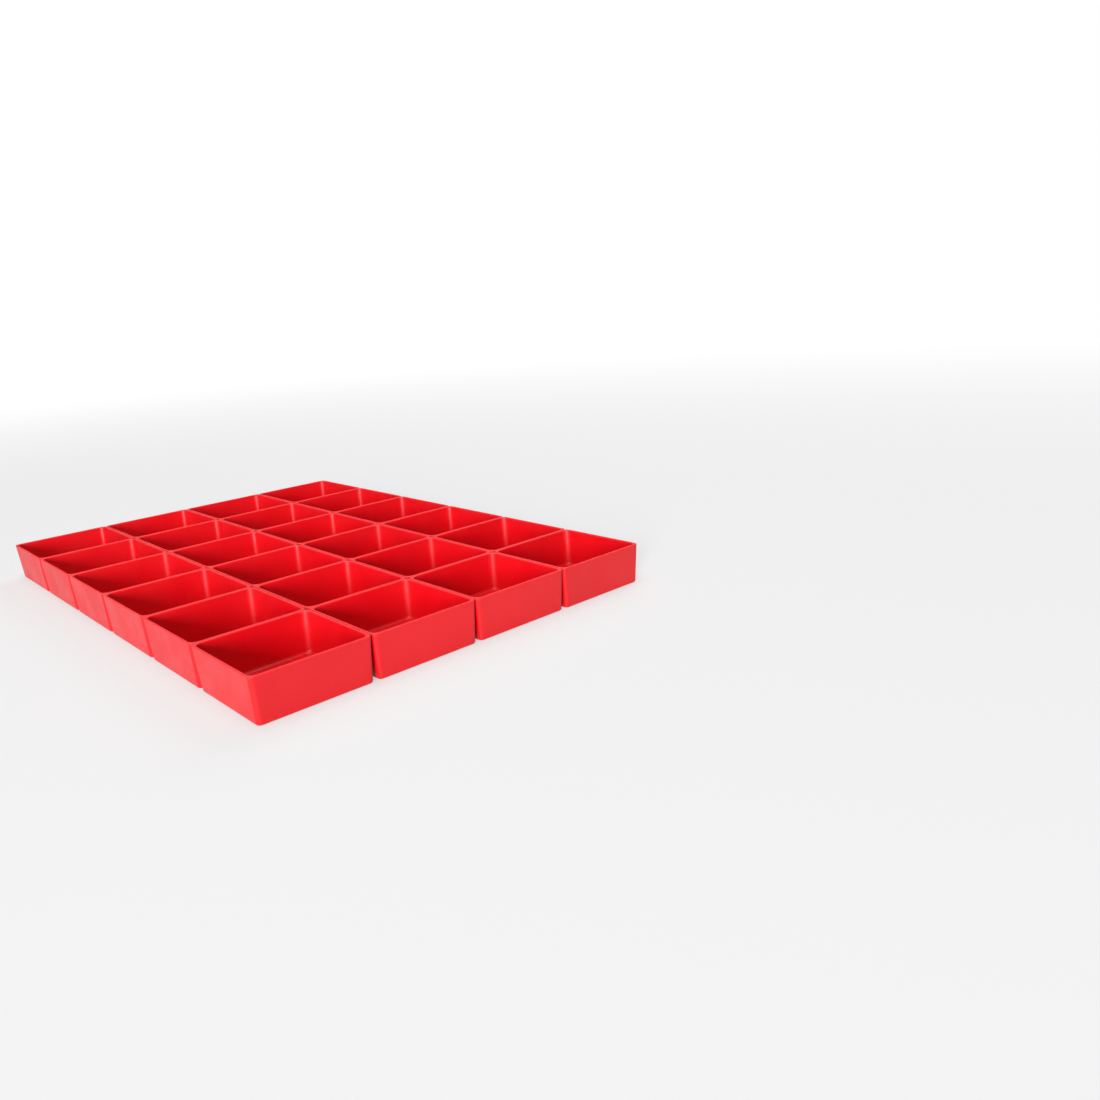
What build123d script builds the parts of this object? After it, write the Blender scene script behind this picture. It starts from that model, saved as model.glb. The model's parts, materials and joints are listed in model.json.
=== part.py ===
from build123d import *
import os
from math import radians, tan

# A drawer divider made of loose, open-top plastic bins. The bins are all alike and stand close
# together in straight rows, so that their rims draw a square grid across the drawer.
#
# Frame: the origin is on the surface that the bins stand on, at the middle of the whole set.
# +Z is up, X runs along a row from left to right, and the front row is the one at -Y.
# Lengths are in millimetres and angles in degrees.

# Layout of the set
columns = 6
rows = 4
rim_gap = 0.3            # clearance between the rims of two neighbours

# One bin
bin_length = 74.7        # across the rim, along X
bin_width = 74.7         # across the rim, along Y
bin_height = 29.0        # from the standing surface to the rim
wall_thickness = 1.5     # measured at the rim
floor_thickness = 1.8
wall_lean = 3.0          # how far each wall leans from upright, so that the bin leaves its mould
outer_corner = 3.0       # radius of the upright corners, outside
inner_corner = 3.0       # radius of the upright corners, inside
foot_round = 1.5         # radius around the foot, outside
floor_round = 2.2        # radius where the walls run into the floor, inside
foot_ring = 4.0          # width of the ring that the bin stands on
foot_recess = 0.5        # how far the underside stands clear within that ring

# Sizes that follow from these
column_pitch = bin_length + rim_gap
row_pitch = bin_width + rim_gap
mouth_length = bin_length - 2 * wall_thickness
mouth_width = bin_width - 2 * wall_thickness
hollow_depth = bin_height - floor_thickness
drawn_in = 2 * bin_height * tan(radians(wall_lean))
recess_length = bin_length - drawn_in - 2 * foot_ring
recess_width = bin_width - drawn_in - 2 * foot_ring


def leaning_block(rim, length, width, depth, corner, round_below):
    """A block hung below its rim, with leaning walls, round corners and a round lower edge."""
    with BuildPart() as sharp:
        with BuildSketch(rim):
            Rectangle(length, width)
        extrude(amount=-depth)
        draft(sharp.faces().filter_by(Axis.Z, reverse=True), rim, -wall_lean)

    with BuildPart() as cornered:
        add(sharp.part)
        fillet(cornered.edges().filter_by(Plane.XY, reverse=True), corner)

    # The rounds along the four lower edges meet in a mitre, which the round corners then trim.
    with BuildPart() as block:
        add(sharp.part)
        fillet(block.edges().group_by(Axis.Z)[0], round_below)
        add(cornered.part, mode=Mode.INTERSECT)

    return block.part


# Every bin is a copy of this one moulding, which stands at the origin with its rim uppermost.
foot = Plane.XY
rim = foot.offset(bin_height)
outside = leaning_block(rim, bin_length, bin_width, bin_height, outer_corner, foot_round)
hollow = leaning_block(rim, mouth_length, mouth_width, hollow_depth, inner_corner, floor_round)

with BuildPart() as moulding:
    add(outside)
    add(hollow, mode=Mode.SUBTRACT)
    with BuildSketch(foot):
        Rectangle(recess_length, recess_width)
    extrude(amount=foot_recess, mode=Mode.SUBTRACT)


def centre_of(index, count, pitch):
    """Where the middle of one bin lies along a line of bins that is centred on the origin."""
    return (index - (count - 1) / 2) * pitch


os.makedirs("parts", exist_ok=True)

for row in range(rows):
    for column in range(columns):
        with BuildPart() as drawer_bin:
            with Locations((centre_of(column, columns, column_pitch), centre_of(row, rows, row_pitch))):
                add(moulding.part)

        name = f"bin_row{row + 1}_col{column + 1}"
        drawer_bin.part.label = name
        export_step(drawer_bin.part, f"parts/{name}.step")
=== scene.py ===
import json
from math import cos, radians, sin, tan

import bmesh
import bpy
from bpy.props import FloatProperty, FloatVectorProperty, IntProperty, PointerProperty
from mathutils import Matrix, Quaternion, Vector


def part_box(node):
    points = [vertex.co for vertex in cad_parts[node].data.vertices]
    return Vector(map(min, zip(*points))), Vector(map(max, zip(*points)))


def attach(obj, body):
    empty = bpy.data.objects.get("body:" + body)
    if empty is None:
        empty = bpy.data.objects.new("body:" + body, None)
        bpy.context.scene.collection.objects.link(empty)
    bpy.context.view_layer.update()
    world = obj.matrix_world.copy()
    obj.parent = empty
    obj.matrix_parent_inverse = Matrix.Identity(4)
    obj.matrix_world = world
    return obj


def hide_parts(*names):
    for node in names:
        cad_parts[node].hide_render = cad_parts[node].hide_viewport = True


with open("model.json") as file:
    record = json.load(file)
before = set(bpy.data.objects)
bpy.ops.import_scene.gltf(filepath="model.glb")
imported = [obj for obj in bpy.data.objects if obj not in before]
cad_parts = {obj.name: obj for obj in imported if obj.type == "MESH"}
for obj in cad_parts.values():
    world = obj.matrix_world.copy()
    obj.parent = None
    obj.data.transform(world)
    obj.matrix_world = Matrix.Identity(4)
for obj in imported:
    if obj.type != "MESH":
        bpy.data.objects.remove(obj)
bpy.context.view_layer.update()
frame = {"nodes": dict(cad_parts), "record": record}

bl_info = {
    "name": "Drawer Divider Bins",
    "version": (1, 0, 0),
    "blender": (4, 5, 0),
    "location": "View3D > Sidebar > Divider",
    "description": "Moulds a set of loose red drawer bins around its CAD frame and sets the stage",
    "category": "Object",
}

# The CAD nodes say how large one bin is and where each one stands.
bin_nodes = sorted(frame["nodes"])
first_low, first_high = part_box(bin_nodes[0])
second_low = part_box(bin_nodes[1])[0]
rim_side = first_high.x - first_low.x
bin_height = first_high.z - first_low.z
pitch = second_low.x - first_low.x
body_of_node = {
    node: body
    for body, nodes in frame["record"]["behaviour"]["bodies"].items()
    for node in nodes
}

LEVEL_TOLERANCE = 1e-6      # metres, for points that lie at one height
CORNER_ANGLE = radians(45)  # faces that turn by more than this meet at a corner
SMOOTH_ANGLE = radians(50)  # faces that turn by less than this are shaded as one
FLOOR_SIDES = 96
SENSOR_WIDTH = 36.0         # millimetres
WHITE = (1.0, 1.0, 1.0, 1.0)


class BinShape(bpy.types.PropertyGroup):
    """Sizes of one moulded bin that its box doesn't give."""

    wall_thickness: FloatProperty(
        name="Wall", description="Wall thickness at the rim",
        default=0.0015, unit="LENGTH")
    floor_thickness: FloatProperty(
        name="Floor", description="Floor thickness",
        default=0.0018, unit="LENGTH")
    wall_lean: FloatProperty(
        name="Lean", description="How far each wall leans from upright",
        default=radians(3), subtype="ANGLE")
    outer_corner: FloatProperty(
        name="Outer corner", description="Radius of the upright corners outside",
        default=0.003, unit="LENGTH")
    inner_corner: FloatProperty(
        name="Inner corner", description="Radius of the upright corners inside",
        default=0.005, unit="LENGTH")
    foot_round: FloatProperty(
        name="Foot round", description="Radius around the foot",
        default=0.0015, unit="LENGTH")
    floor_round: FloatProperty(
        name="Floor round", description="Radius where walls meet floor",
        default=0.0022, unit="LENGTH")
    rim_round: FloatProperty(
        name="Rim round", description="Radius along both edges of the rim",
        default=0.0005, unit="LENGTH")
    foot_ring: FloatProperty(
        name="Foot ring", description="Width of the ring the bin stands on",
        default=0.004, unit="LENGTH")
    foot_recess: FloatProperty(
        name="Foot recess", description="Height of the underside within the ring",
        default=0.0005, unit="LENGTH")
    recess_round: FloatProperty(
        name="Recess round", description="Radius along the recess edges",
        default=0.0002, unit="LENGTH")
    gate_width: FloatProperty(
        name="Gate", description="Width of the dimple at the moulding gate",
        default=0.006, unit="LENGTH")
    gate_depth: FloatProperty(
        name="Gate depth", description="Depth of that dimple",
        default=0.0004, unit="LENGTH")
    gate_stub: FloatProperty(
        name="Gate stub", description="Width of the broken stub in the dimple",
        default=0.0016, unit="LENGTH")
    corner_steps: IntProperty(
        name="Corner steps", description="Faces around each upright corner",
        default=14)
    round_steps: IntProperty(
        name="Round steps", description="Faces across the floor and foot rounds",
        default=8)
    rim_steps: IntProperty(
        name="Rim steps", description="Faces across each round of the rim",
        default=4)
    recess_steps: IntProperty(
        name="Recess steps", description="Faces across each round of the recess",
        default=2)


class PlasticFinish(bpy.types.PropertyGroup):
    """Colours, gloss and wear of the moulded plastic, with a painted highlight along the rims."""

    colour: FloatVectorProperty(
        name="Colour", description="Red of the plastic",
        default=(0.69, 0.0006, 0.006), subtype="COLOR")
    deep: FloatVectorProperty(
        name="Deep", description="Darker red where the melt flowed last",
        default=(0.58, 0.0004, 0.005), subtype="COLOR")
    tone_change: FloatProperty(
        name="Tone change", description="How far the flow darkens the red, and each bin's own shot",
        default=0.3, subtype="FACTOR")
    # Paler red for scuffs; along the rim it is also a painted highlight standing in for the light the rims
    # catch.
    scuffed: FloatVectorProperty(
        name="Scuffed", description="Paler red where edges are scuffed",
        default=(0.80, 0.015, 0.019), subtype="COLOR")
    refraction: FloatProperty(
        name="Refraction", description="Refractive index of the plastic",
        default=1.5)
    roughness: FloatProperty(
        name="Roughness", description="Roughness of a clean wall",
        default=0.42, subtype="FACTOR")
    smudge: FloatProperty(
        name="Smudges", description="How far handling changes the roughness",
        default=0.10, subtype="FACTOR")
    smudge_size: FloatProperty(
        name="Smudge size", description="Size of the patches left by handling",
        default=0.018, unit="LENGTH")
    dulling: FloatProperty(
        name="Dulling", description="How much rougher a scuffed edge is",
        default=0.2, subtype="FACTOR")
    grain_size: FloatProperty(
        name="Grain", description="Size of the moulded grain",
        default=0.0006, unit="LENGTH")
    peel_size: FloatProperty(
        name="Peel", description="Size of the soft waves in the moulded skin",
        default=0.005, unit="LENGTH")
    skin_depth: FloatProperty(
        name="Skin depth", description="Depth of grain and waves together",
        default=0.00002, unit="LENGTH")
    # The rim band is partly scuffing and partly a painted highlight.
    rim_wear: FloatProperty(
        name="Rim wear", description="How far down from the rim it is scuffed",
        default=0.0012, unit="LENGTH")
    foot_wear: FloatProperty(
        name="Foot wear", description="How far up from the foot it is scuffed",
        default=0.0014, unit="LENGTH")
    foot_scuff: FloatProperty(
        name="Foot scuff", description="How strongly the foot is scuffed, as a share of the rim",
        default=0.5, subtype="FACTOR")
    floor_wear: FloatProperty(
        name="Floor wear", description="How far up from the inner floor it is scratched",
        default=0.0012, unit="LENGTH")
    wear_patch: FloatProperty(
        name="Wear patch", description="Size of the patches that wear comes in",
        default=0.004, unit="LENGTH")
    scratch_gap: FloatProperty(
        name="Scratch gap", description="Distance between scratches",
        default=0.0028, unit="LENGTH")
    scratch_start: FloatProperty(
        name="Scratch start", description="Angle of the first run of scratches",
        default=0.3, subtype="ANGLE")
    scratch_turn: FloatProperty(
        name="Scratch turn", description="Angle between the two runs of scratches",
        default=radians(63), subtype="ANGLE")
    scratch_scuff: FloatProperty(
        name="Scratch scuff", description="How strongly scratches are scuffed, as a share of the rim",
        default=0.5, subtype="FACTOR")
    scratch_depth: FloatProperty(
        name="Scratch depth", description="Depth of a scratch, as a share of the skin depth",
        default=0.4, subtype="FACTOR")


class Softbox(bpy.types.PropertyGroup):
    """One soft lamp that points at the middle of the set."""

    azimuth: FloatProperty(
        name="Azimuth", description="Side that it stands on: 0 in front, 90 on the right",
        default=0.0, subtype="ANGLE")
    elevation: FloatProperty(
        name="Elevation", description="Height above the horizon",
        default=radians(45), subtype="ANGLE")
    distance: FloatProperty(
        name="Distance", description="Distance from the middle of the set",
        default=1.7, unit="LENGTH")
    width: FloatProperty(
        name="Width", description="Width of the lamp",
        default=1.2, unit="LENGTH")
    height: FloatProperty(
        name="Height", description="Height of the lamp",
        default=1.2, unit="LENGTH")
    power: FloatProperty(
        name="Power", description="Power of the lamp",
        default=10.0, unit="POWER")


class StageSetup(bpy.types.PropertyGroup):
    """Floor, light and camera."""

    floor_colour: FloatVectorProperty(
        name="Floor", description="Colour of the floor",
        default=(0.62, 0.62, 0.62), subtype="COLOR")
    floor_roughness: FloatProperty(
        name="Floor roughness", description="Roughness of the floor",
        default=0.9, subtype="FACTOR")
    floor_gloss: FloatProperty(
        name="Floor gloss", description="Strength of the floor's gloss",
        default=0.1, subtype="FACTOR")
    floor_radius: FloatProperty(
        name="Floor radius", description="Reach of the floor",
        default=12.0, unit="LENGTH")
    floor_whiteness: FloatProperty(
        name="Floor white", description="How far the floor beside the bins is lifted to white",
        default=0.5, subtype="FACTOR")
    fade_start: FloatProperty(
        name="Fade start", description="Where the floor begins to fade to white",
        default=0.25, unit="LENGTH")
    fade_end: FloatProperty(
        name="Fade end", description="Where the floor is as white as the background",
        default=2.2, unit="LENGTH")
    ceiling: FloatProperty(
        name="Ceiling", description="Brightness of the ceiling in reflections",
        default=0.1, subtype="FACTOR")
    ceiling_start: FloatProperty(
        name="Ceiling start", description="Elevation where the backdrop begins to darken",
        default=radians(15), subtype="ANGLE")
    ceiling_end: FloatProperty(
        name="Ceiling end", description="Elevation where the ceiling is reached",
        default=radians(45), subtype="ANGLE")
    behind: FloatProperty(
        name="Behind", description="Brightness of the backdrop behind the bins in reflections",
        default=0.0, subtype="FACTOR")
    behind_start: FloatProperty(
        name="Behind start", description="Turn from the side to the back where it begins to darken",
        default=radians(18), subtype="ANGLE")
    behind_end: FloatProperty(
        name="Behind end", description="Turn from the side to the back where it is darkest",
        default=radians(38), subtype="ANGLE")
    fill: FloatProperty(
        name="Fill", description="Strength of the light from all round",
        default=0.15)
    key: PointerProperty(type=Softbox, name="Key", description="Softbox beside the camera")
    top: PointerProperty(type=Softbox, name="Top", description="Softbox above the bins")
    back: PointerProperty(type=Softbox, name="Back", description="Softbox behind the bins")
    camera_eye: FloatVectorProperty(
        name="Eye", description="Where the camera stands",
        default=(0.6548, -0.3242, 0.2099), subtype="XYZ")
    camera_aim: FloatVectorProperty(
        name="Aim", description="Point at the middle of the picture",
        default=(0.1074, 0.1697, 0.0), subtype="XYZ")
    camera_roll: FloatProperty(
        name="Roll", description="Turn of the camera about its line of sight",
        default=radians(4.04), subtype="ANGLE")
    camera_lens: FloatProperty(
        name="Lens", description="Focal length",
        default=30.0, subtype="DISTANCE_CAMERA")


# Selecting, as by hand


def select_only(piece):
    """In object mode, selects one piece and makes it the active one."""
    bpy.ops.object.select_all(action="DESELECT")
    piece.select_set(True)
    bpy.context.view_layer.objects.active = piece


def select_where(piece, kind, wanted):
    """In edit mode, selects the edges or faces that pass the test and nothing else."""
    bpy.ops.mesh.select_mode(type=kind)
    bpy.ops.mesh.select_all(action="DESELECT")
    mesh = bmesh.from_edit_mesh(piece.data)
    for element in {"EDGE": mesh.edges, "FACE": mesh.faces}[kind]:
        if wanted(element):
            element.select_set(True)
    bmesh.update_edit_mesh(piece.data)


def selected_points(piece):
    """In edit mode, the places of the points that are selected."""
    mesh = bmesh.from_edit_mesh(piece.data)
    return [vert.co.copy() for vert in mesh.verts if vert.select]


def lies_at(edge, height):
    """True for a level edge at the given height."""
    return all(abs(vert.co.z - height) < LEVEL_TOLERANCE for vert in edge.verts)


def is_corner(edge):
    """True for an edge that stands out between its two faces."""
    return edge.calc_face_angle(0.0) > CORNER_ANGLE


# The bin


def leaning_tub(shape, side, depth, corner, round_below):
    """A square tub with no lid, hung below the rim, with leaning walls and rounds all over."""
    bpy.ops.object.select_all(action="DESELECT")
    bpy.ops.mesh.primitive_plane_add(size=side, location=(0, 0, bin_height))
    bpy.ops.object.transform_apply(location=True, rotation=False, scale=False)
    tub = bpy.context.object
    bpy.ops.object.mode_set(mode="EDIT")
    bpy.ops.mesh.bevel(offset=corner, segments=shape.corner_steps, affect="VERTICES")
    bpy.ops.mesh.select_all(action="SELECT")
    bpy.ops.mesh.delete(type="ONLY_FACE")
    bpy.ops.mesh.select_all(action="SELECT")
    bpy.ops.mesh.extrude_edges_move(TRANSFORM_OT_translate={"value": (0, 0, -depth)})
    drawn_in = 1 - 2 * depth * tan(shape.wall_lean) / side
    bpy.ops.transform.resize(value=(drawn_in, drawn_in, 1))
    bpy.ops.mesh.edge_face_add()
    bpy.ops.mesh.bevel(offset=round_below, segments=shape.round_steps, affect="EDGES")
    bpy.ops.object.mode_set(mode="OBJECT")
    return tub


def shrink_face(width_now, width_next):
    """Draws a smaller copy of the selected face inside it and leaves that selected."""
    share = width_next / width_now
    bpy.ops.mesh.extrude_region_move(TRANSFORM_OT_translate={"value": (0, 0, 0)})
    bpy.ops.transform.resize(value=(share, share, 1))


def sink_face(height):
    """Moves the selected face up into the piece, or down again, and draws walls around it."""
    bpy.ops.mesh.extrude_region_move(TRANSFORM_OT_translate={"value": (0, 0, height)})


def shape_underside(piece, shape):
    """The standing ring, the recess within it, and the mark of the moulding gate."""
    lowest = min(vert.co.z for vert in piece.data.vertices)
    recess_top = lowest + shape.foot_recess
    foot_side = rim_side - 2 * bin_height * tan(shape.wall_lean)
    recess_side = foot_side - 2 * shape.foot_ring

    def on_gate(edge):
        return all(max(abs(vert.co.x), abs(vert.co.y)) < shape.gate_width for vert in edge.verts)

    def is_gate_side(edge):
        return on_gate(edge) and edge.calc_length() > shape.gate_width / 2

    def is_recess_edge(edge):
        level = lies_at(edge, lowest) or lies_at(edge, recess_top)
        return level and is_corner(edge) and not on_gate(edge)

    bpy.ops.object.mode_set(mode="EDIT")
    select_where(piece, "FACE", lambda face: all(lies_at(edge, lowest) for edge in face.edges))
    flat_side = max(2 * abs(place.x) for place in selected_points(piece))
    shrink_face(flat_side, recess_side)
    sink_face(shape.foot_recess)

    # A small square in the middle of the recess becomes a round dimple with a stub in it.
    shrink_face(recess_side, shape.gate_width)
    select_where(piece, "EDGE", is_gate_side)
    bpy.ops.mesh.subdivide(number_cuts=shape.round_steps)
    select_where(piece, "FACE", lambda face: all(on_gate(edge) for edge in face.edges))
    bpy.ops.transform.tosphere(value=1.0)
    round_width = max(2 * place.xy.length for place in selected_points(piece))
    shrink = shape.gate_width / round_width
    bpy.ops.transform.resize(value=(shrink, shrink, 1))
    sink_face(shape.gate_depth)
    shrink_face(shape.gate_width, shape.gate_stub)
    sink_face(-shape.gate_depth / 2)

    select_where(piece, "EDGE", is_recess_edge)
    bpy.ops.mesh.bevel(offset=shape.recess_round, segments=shape.recess_steps, affect="EDGES")
    bpy.ops.object.mode_set(mode="OBJECT")


def join_at_rim(outside, inside, shape):
    """Joins the two tubs into one wall with a rim, and rounds the rim's edges."""
    select_only(inside)
    bpy.ops.object.mode_set(mode="EDIT")
    bpy.ops.mesh.select_all(action="SELECT")
    bpy.ops.mesh.flip_normals()
    bpy.ops.object.mode_set(mode="OBJECT")
    select_only(outside)
    inside.select_set(True)
    bpy.ops.object.join()
    bpy.ops.object.mode_set(mode="EDIT")
    select_where(outside, "EDGE", lambda edge: lies_at(edge, bin_height))
    bpy.ops.mesh.bridge_edge_loops()
    select_where(outside, "EDGE", lambda edge: lies_at(edge, bin_height) and is_corner(edge))
    bpy.ops.mesh.bevel(offset=shape.rim_round, segments=shape.rim_steps, affect="EDGES")
    bpy.ops.object.mode_set(mode="OBJECT")
    return outside


def mould_bin(shape):
    """One whole bin, standing at the middle of the frame."""
    outside = leaning_tub(shape, rim_side, bin_height, shape.outer_corner, shape.foot_round)
    shape_underside(outside, shape)
    mouth_side = rim_side - 2 * shape.wall_thickness
    depth = bin_height - shape.floor_thickness
    inside = leaning_tub(shape, mouth_side, depth, shape.inner_corner, shape.floor_round)
    piece = join_at_rim(outside, inside, shape)
    bpy.ops.object.shade_smooth_by_angle(angle=SMOOTH_ANGLE)
    bpy.ops.object.modifier_add(type="WEIGHTED_NORMAL")
    piece.modifiers[-1].keep_sharp = True
    bpy.ops.object.modifier_apply(modifier=piece.modifiers[-1].name)
    return piece


def copy_to_node(master, node):
    """A copy of the bin with its own mesh, in the place of a CAD node."""
    low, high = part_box(node)
    select_only(master)
    bpy.ops.object.duplicate(linked=False)
    piece = bpy.context.object
    piece.name = f"moulded_{node}"
    piece.data.name = piece.name
    piece.location = ((low.x + high.x) / 2, (low.y + high.y) / 2, low.z)
    bpy.ops.object.transform_apply(location=True, rotation=False, scale=False)
    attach(piece, body_of_node[node])
    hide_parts(node)


# Node helpers


def feed(tree, socket, source):
    """Links a socket to another one, or gives it a plain value."""
    if isinstance(source, bpy.types.NodeSocket):
        tree.links.new(source, socket)
    else:
        socket.default_value = source


def calculate(tree, operation, first, second=0.0):
    """Works on one or two values."""
    node = tree.nodes.new("ShaderNodeMath")
    node.operation = operation
    feed(tree, node.inputs[0], first)
    feed(tree, node.inputs[1], second)
    return node.outputs["Value"]


def calculate_vector(tree, operation, first, second=(0.0, 0.0, 0.0)):
    """Works on one or two vectors."""
    node = tree.nodes.new("ShaderNodeVectorMath")
    node.operation = operation
    feed(tree, node.inputs[0], first)
    feed(tree, node.inputs[1], second)
    return node.outputs["Vector"]


def spread(tree, value, low, high, to_low=0.0, to_high=1.0):
    """Maps a value between two limits smoothly onto another range."""
    node = tree.nodes.new("ShaderNodeMapRange")
    node.interpolation_type = "SMOOTHSTEP"
    feed(tree, node.inputs["Value"], value)
    feed(tree, node.inputs["From Min"], low)
    feed(tree, node.inputs["From Max"], high)
    feed(tree, node.inputs["To Min"], to_low)
    feed(tree, node.inputs["To Max"], to_high)
    return node.outputs["Result"]


def noise(tree, place, size, detail):
    """Soft noise from 0 to 1 whose spots are about the given size."""
    node = tree.nodes.new("ShaderNodeTexNoise")
    feed(tree, node.inputs["Vector"], place)
    feed(tree, node.inputs["Scale"], calculate(tree, "DIVIDE", 1.0, size))
    node.inputs["Detail"].default_value = detail
    return node.outputs["Fac"]


def mix(tree, kind, share, first, second):
    """Mixes two colours, of kind RGBA, or two values, of kind FLOAT."""
    node = tree.nodes.new("ShaderNodeMix")
    node.data_type = kind
    feed(tree, node.inputs["Factor"], share)
    feed(tree, node.inputs["A"], first)
    feed(tree, node.inputs["B"], second)
    return node.outputs["Result"]


def mirrored(tree, path):
    """Full for a ray that comes off gloss or through glass, and nothing for any other."""
    return calculate(tree, "MAXIMUM", path["Is Glossy Ray"], path["Is Transmission Ray"])


def begin_group(name, inputs, outputs):
    """A node group with named sockets. Returns it with its input sockets and its output sockets."""
    group = bpy.data.node_groups.new(name, "ShaderNodeTree")
    for label, kind in inputs:
        group.interface.new_socket(label, in_out="INPUT", socket_type=kind)
    for label, kind in outputs:
        group.interface.new_socket(label, in_out="OUTPUT", socket_type=kind)
    return group, group.nodes.new("NodeGroupInput").outputs, group.nodes.new("NodeGroupOutput").inputs


def place_group(tree, group, **sources):
    """Puts a group into a material and feeds its inputs by name."""
    node = tree.nodes.new("ShaderNodeGroup")
    node.node_tree = group
    for label, source in sources.items():
        feed(tree, node.inputs[label], source)
    return node.outputs


# The plastic


def moulded_skin_group():
    """Fine grain and soft waves as a height, and a slow change of tone."""
    grain_share = 0.3
    flow_per_peel = 8.0
    group, given, result = begin_group(
        "moulded_skin",
        (("Place", "NodeSocketVector"), ("Grain", "NodeSocketFloat"), ("Peel", "NodeSocketFloat")),
        (("Height", "NodeSocketFloat"), ("Tone", "NodeSocketFloat")),
    )
    grain = noise(group, given["Place"], given["Grain"], detail=2.0)
    waves = noise(group, given["Place"], given["Peel"], detail=1.0)
    flow_size = calculate(group, "MULTIPLY", given["Peel"], flow_per_peel)
    flow = noise(group, given["Place"], flow_size, detail=3.0)
    fine = calculate(group, "MULTIPLY", grain, grain_share)
    feed(group, result["Height"], calculate(group, "ADD", waves, fine))
    feed(group, result["Tone"], spread(group, flow, low=0.35, high=0.65))
    return group


def wear_and_sheen_band_group():
    """A patchy mask that is full at one height and fades away from it."""
    group, given, result = begin_group(
        "wear_and_sheen_band",
        (("Place", "NodeSocketVector"), ("Level", "NodeSocketFloat"), ("Reach", "NodeSocketFloat"),
         ("Patch", "NodeSocketFloat")),
        (("Mask", "NodeSocketFloat"),),
    )
    split = group.nodes.new("ShaderNodeSeparateXYZ")
    feed(group, split.inputs["Vector"], given["Place"])
    above = calculate(group, "SUBTRACT", split.outputs["Z"], given["Level"])
    away = calculate(group, "ABSOLUTE", above)
    band = spread(group, away, low=0.0, high=given["Reach"], to_low=1.0, to_high=0.0)
    patches = noise(group, given["Place"], given["Patch"], detail=4.0)
    patchy = spread(group, patches, low=0.3, high=0.6, to_low=0.4, to_high=1.0)
    feed(group, result["Mask"], calculate(group, "MULTIPLY", band, patchy))
    return group


def scratches_group():
    """Thin lines, all about one way, that come and go."""
    squeeze_along = 0.07  # noise squeezed one way is drawn out into long lines
    line_level = 0.5      # a scratch runs where the noise has this value
    line_reach = 0.02     # and fades out this far from it
    patch_per_gap = 6.0
    group, given, result = begin_group(
        "scratches",
        (("Place", "NodeSocketVector"), ("Gap", "NodeSocketFloat"), ("Turn", "NodeSocketFloat")),
        (("Mask", "NodeSocketFloat"),),
    )
    turned = group.nodes.new("ShaderNodeVectorRotate")
    turned.rotation_type = "Z_AXIS"
    feed(group, turned.inputs["Vector"], given["Place"])
    feed(group, turned.inputs["Angle"], given["Turn"])
    drawn_out = calculate_vector(group, "MULTIPLY", turned.outputs["Vector"], (squeeze_along, 1.0, 1.0))
    lines = noise(group, drawn_out, given["Gap"], detail=2.0)
    off_line = calculate(group, "ABSOLUTE", calculate(group, "SUBTRACT", lines, line_level))
    thin = spread(group, off_line, low=0.0, high=line_reach, to_low=1.0, to_high=0.0)
    patch_size = calculate(group, "MULTIPLY", given["Gap"], patch_per_gap)
    patches = noise(group, turned.outputs["Vector"], patch_size, detail=1.0)
    patchy = spread(group, patches, low=0.48, high=0.62)
    feed(group, result["Mask"], calculate(group, "MULTIPLY", thin, patchy))
    return group


def wear_and_rim_sheen_masks(tree, place, finish, shape):
    """Masks of the rim band, which is partly wear and partly a painted highlight, of the scuffed foot and
    floor, and of the scratches on the floor alone.
    """
    wear_and_sheen_band = wear_and_sheen_band_group()
    scratches = scratches_group()

    def band(level, reach):
        placed = place_group(
            tree, wear_and_sheen_band, Place=place, Level=level, Reach=reach, Patch=finish.wear_patch)
        return placed["Mask"]

    def run(turn):
        return place_group(tree, scratches, Place=place, Gap=finish.scratch_gap, Turn=turn)["Mask"]

    # The rim band is partly scuffing and partly a painted highlight of the light the rims catch.
    rim = band(level=bin_height, reach=finish.rim_wear)
    foot = band(level=0.0, reach=finish.foot_wear)
    floor = band(level=shape.floor_thickness, reach=finish.floor_wear)
    along = run(turn=finish.scratch_start)
    across = run(turn=finish.scratch_start + finish.scratch_turn)
    scratched = calculate(tree, "MULTIPLY", calculate(tree, "MAXIMUM", along, across), floor)
    worn_foot = calculate(tree, "MULTIPLY", foot, finish.foot_scuff)
    worn_floor = calculate(tree, "MULTIPLY", scratched, finish.scratch_scuff)
    worn_and_sheen_edges = calculate(tree, "MAXIMUM", rim, worn_foot)
    return calculate(tree, "MAXIMUM", worn_and_sheen_edges, worn_floor), scratched


def shot_tone(tree, place):
    """One value for each bin, because every bin comes from its own shot of the mould."""
    cells = calculate_vector(tree, "MULTIPLY", place, (1 / pitch, 1 / pitch, 0.0))
    shot = tree.nodes.new("ShaderNodeTexWhiteNoise")
    feed(tree, shot.inputs["Vector"], calculate_vector(tree, "FLOOR", cells))
    return shot.outputs["Value"]


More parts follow.
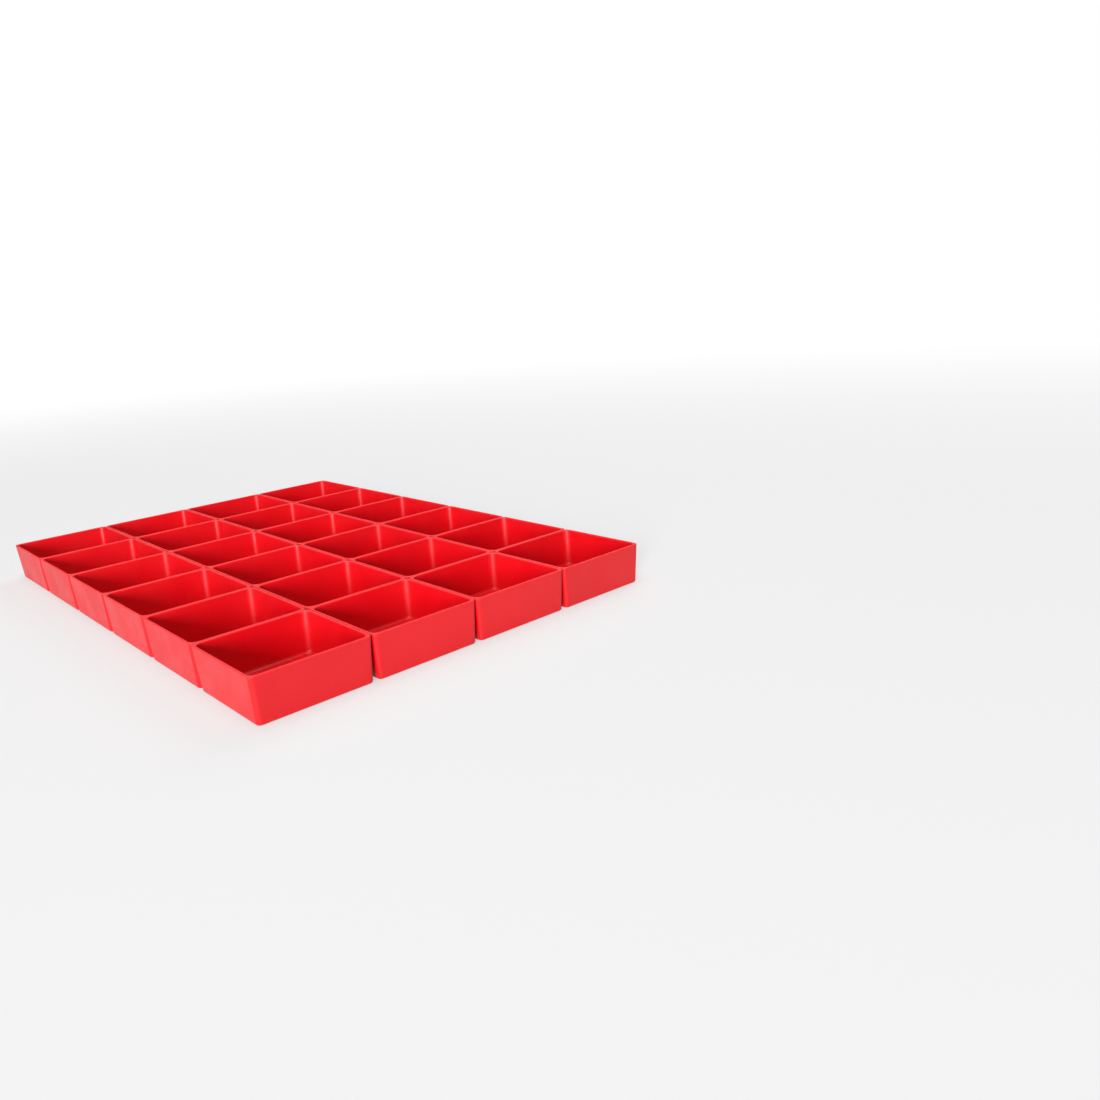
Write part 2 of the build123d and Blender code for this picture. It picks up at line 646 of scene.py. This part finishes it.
def red_plastic(finish, shape):
    """Moulded red plastic: toned by the flow, scuffed along rim and foot with a painted highlight along
    the rim, and scratched on the floor.
    """
    material = bpy.data.materials.new("red_plastic_moulded")
    material.use_nodes = True
    tree = material.node_tree
    shader = tree.nodes["Principled BSDF"]
    shader.inputs["IOR"].default_value = finish.refraction
    place = tree.nodes.new("ShaderNodeTexCoord").outputs["Object"]
    skin = place_group(
        tree, moulded_skin_group(), Place=place, Grain=finish.grain_size, Peel=finish.peel_size)
    scuffs_and_rim_sheen, scratched = wear_and_rim_sheen_masks(tree, place, finish, shape)

    tones = calculate(tree, "ADD", skin["Tone"], shot_tone(tree, place))
    toned = calculate(tree, "MULTIPLY", tones, finish.tone_change)
    clean = mix(tree, "RGBA", toned, (*finish.colour, 1), (*finish.deep, 1))
    # Paler red where scuffed; along the rim this is also a painted highlight.
    feed(tree, shader.inputs["Base Color"], mix(tree, "RGBA", scuffs_and_rim_sheen, clean, (*finish.scuffed, 1)))

    handled = noise(tree, place, finish.smudge_size, detail=3.0)
    smudged = spread(
        tree, handled, low=0.3, high=0.7,
        to_low=finish.roughness - finish.smudge / 2, to_high=finish.roughness + finish.smudge / 2)
    dulled = calculate(tree, "MULTIPLY", scuffs_and_rim_sheen, finish.dulling)
    feed(tree, shader.inputs["Roughness"], calculate(tree, "ADD", smudged, dulled))

    cut = calculate(tree, "MULTIPLY", scratched, finish.scratch_depth)
    bump = tree.nodes.new("ShaderNodeBump")
    bump.inputs["Distance"].default_value = finish.skin_depth
    feed(tree, bump.inputs["Height"], calculate(tree, "SUBTRACT", skin["Height"], cut))
    feed(tree, shader.inputs["Normal"], bump.outputs["Normal"])
    return material


class DIVIDER_OT_mould_bins(bpy.types.Operator):
    """Mould one bin and set a copy of it on every CAD node"""

    bl_idname = "divider.mould_bins"
    bl_label = "Mould the bins"

    def execute(self, context):
        scene = context.scene
        master = mould_bin(scene.divider_shape)
        master.data.materials.append(red_plastic(scene.divider_finish, scene.divider_shape))
        for node in bin_nodes:
            copy_to_node(master, node)
        bpy.data.objects.remove(master)
        return {"FINISHED"}


# The stage


def floor_material(stage):
    """Pale and matt around the bins, and as white as the background further out."""
    material = bpy.data.materials.new("pale_floor")
    material.use_nodes = True
    tree = material.node_tree
    shader = tree.nodes["Principled BSDF"]
    shader.inputs["Base Color"].default_value = (*stage.floor_colour, 1)
    shader.inputs["Roughness"].default_value = stage.floor_roughness
    shader.inputs["Specular IOR Level"].default_value = stage.floor_gloss

    reach = tree.nodes.new("ShaderNodeVectorMath")
    reach.operation = "LENGTH"
    feed(tree, reach.inputs[0], tree.nodes.new("ShaderNodeTexCoord").outputs["Object"])
    whiteness = spread(
        tree, reach.outputs["Value"], stage.fade_start, stage.fade_end, stage.floor_whiteness, 1.0)
    path = tree.nodes.new("ShaderNodeLightPath").outputs
    seen = calculate(tree, "MAXIMUM", path["Is Camera Ray"], mirrored(tree, path))
    lifted = tree.nodes.new("ShaderNodeMixShader")
    feed(tree, lifted.inputs["Fac"], calculate(tree, "MULTIPLY", whiteness, seen))
    feed(tree, lifted.inputs[1], shader.outputs["BSDF"])
    feed(tree, lifted.inputs[2], tree.nodes.new("ShaderNodeEmission").outputs["Emission"])
    feed(tree, tree.nodes["Material Output"].inputs["Surface"], lifted.outputs["Shader"])
    return material


def add_floor(stage):
    """A wide flat disc that the bins stand on."""
    bpy.ops.object.select_all(action="DESELECT")
    bpy.ops.mesh.primitive_circle_add(vertices=FLOOR_SIDES, radius=stage.floor_radius, fill_type="NGON")
    floor = bpy.context.object
    floor.name = "floor"
    floor.data.materials.append(floor_material(stage))


def light_world(stage):
    """White behind the bins. Reflections show it darker above and behind, and it lights only weakly."""
    world = bpy.data.worlds.new("studio")
    bpy.context.scene.world = world
    world.use_nodes = True
    tree = world.node_tree
    path = tree.nodes.new("ShaderNodeLightPath").outputs
    direction = tree.nodes.new("ShaderNodeSeparateXYZ")
    feed(tree, direction.inputs["Vector"], tree.nodes.new("ShaderNodeTexCoord").outputs["Generated"])
    upward = spread(
        tree, direction.outputs["Z"], sin(stage.ceiling_start), sin(stage.ceiling_end), 1.0, stage.ceiling)
    backward = spread(
        tree, direction.outputs["Y"], sin(stage.behind_start), sin(stage.behind_end), 1.0, stage.behind)
    backdrop = calculate(tree, "MULTIPLY", upward, backward)
    unseen = mix(tree, "FLOAT", mirrored(tree, path), stage.fill, backdrop)
    background = tree.nodes["Background"]
    background.inputs["Color"].default_value = WHITE
    feed(tree, background.inputs["Strength"], mix(tree, "FLOAT", path["Is Camera Ray"], unseen, 1.0))


def add_softbox(name, box):
    """An area lamp that points at the middle of the set."""
    level = box.distance * cos(box.elevation)
    place = Vector((
        level * sin(box.azimuth),
        -level * cos(box.azimuth),
        box.distance * sin(box.elevation),
    ))
    facing = (-place).to_track_quat("-Z", "Y").to_euler()
    bpy.ops.object.light_add(type="AREA", location=place, rotation=facing)
    lamp = bpy.context.object
    lamp.name = name
    lamp.data.shape = "RECTANGLE"
    lamp.data.size = box.width
    lamp.data.size_y = box.height
    lamp.data.energy = box.power


def add_camera(stage):
    """A camera that looks at its aim, turned a little about its line of sight."""
    eye = Vector(stage.camera_eye)
    line = (Vector(stage.camera_aim) - eye).normalized()
    turn = Quaternion(line, stage.camera_roll) @ line.to_track_quat("-Z", "Y")
    bpy.ops.object.camera_add(location=eye, rotation=turn.to_euler())
    camera = bpy.context.object
    camera.data.lens = stage.camera_lens
    camera.data.sensor_width = SENSOR_WIDTH
    bpy.context.scene.camera = camera


class DIVIDER_OT_set_stage(bpy.types.Operator):
    """Add the floor, the lamps and the camera"""

    bl_idname = "divider.set_stage"
    bl_label = "Set the stage"

    def execute(self, context):
        stage = context.scene.divider_stage
        add_floor(stage)
        light_world(stage)
        add_softbox("key_softbox", stage.key)
        add_softbox("top_softbox", stage.top)
        add_softbox("back_softbox", stage.back)
        add_camera(stage)
        context.scene.view_settings.view_transform = "Standard"
        return {"FINISHED"}


def draw_settings(layout, settings):
    """Lists the values of a settings group, and of the groups within it."""
    for name in settings.__annotations__:
        value = getattr(settings, name)
        if isinstance(value, bpy.types.PropertyGroup):
            box = layout.box()
            box.label(text=settings.bl_rna.properties[name].name)
            draw_settings(box, value)
        else:
            layout.prop(settings, name)


class DIVIDER_PT_panel(bpy.types.Panel):
    """Sizes, finish and stage of the drawer divider"""

    bl_label = "Drawer divider"
    bl_idname = "DIVIDER_PT_panel"
    bl_space_type = "VIEW_3D"
    bl_region_type = "UI"
    bl_category = "Divider"

    def draw(self, context):
        scene = context.scene
        draw_settings(self.layout, scene.divider_shape)
        draw_settings(self.layout, scene.divider_finish)
        self.layout.operator(DIVIDER_OT_mould_bins.bl_idname)
        draw_settings(self.layout, scene.divider_stage)
        self.layout.operator(DIVIDER_OT_set_stage.bl_idname)


classes = (
    BinShape,
    PlasticFinish,
    Softbox,
    StageSetup,
    DIVIDER_OT_mould_bins,
    DIVIDER_OT_set_stage,
    DIVIDER_PT_panel,
)


def register():
    for one in classes:
        bpy.utils.register_class(one)
    bpy.types.Scene.divider_shape = PointerProperty(type=BinShape)
    bpy.types.Scene.divider_finish = PointerProperty(type=PlasticFinish)
    bpy.types.Scene.divider_stage = PointerProperty(type=StageSetup)


def unregister():
    del bpy.types.Scene.divider_stage
    del bpy.types.Scene.divider_finish
    del bpy.types.Scene.divider_shape
    for one in reversed(classes):
        bpy.utils.unregister_class(one)


def set_softbox(lamp, **settings):
    """Gives a lamp its place, size and power."""
    for name, value in settings.items():
        setattr(lamp, name, value)


def set_lamps(stage):
    """A key that stands low beside the camera, one lamp above the bins and one behind them."""
    set_softbox(
        stage.key, azimuth=radians(40), elevation=radians(12.5), distance=3.4,
        width=0.6, height=1.0, power=133.0)
    set_softbox(
        stage.top, azimuth=radians(38), elevation=radians(80), distance=2.4,
        width=2.0, height=2.0, power=42.0)
    set_softbox(
        stage.back, azimuth=radians(205), elevation=radians(40), distance=2.4,
        width=1.6, height=1.6, power=22.0)


def main():
    register()
    set_lamps(bpy.context.scene.divider_stage)
    bpy.ops.divider.mould_bins()
    bpy.ops.divider.set_stage()


if __name__ == "__main__":
    main()
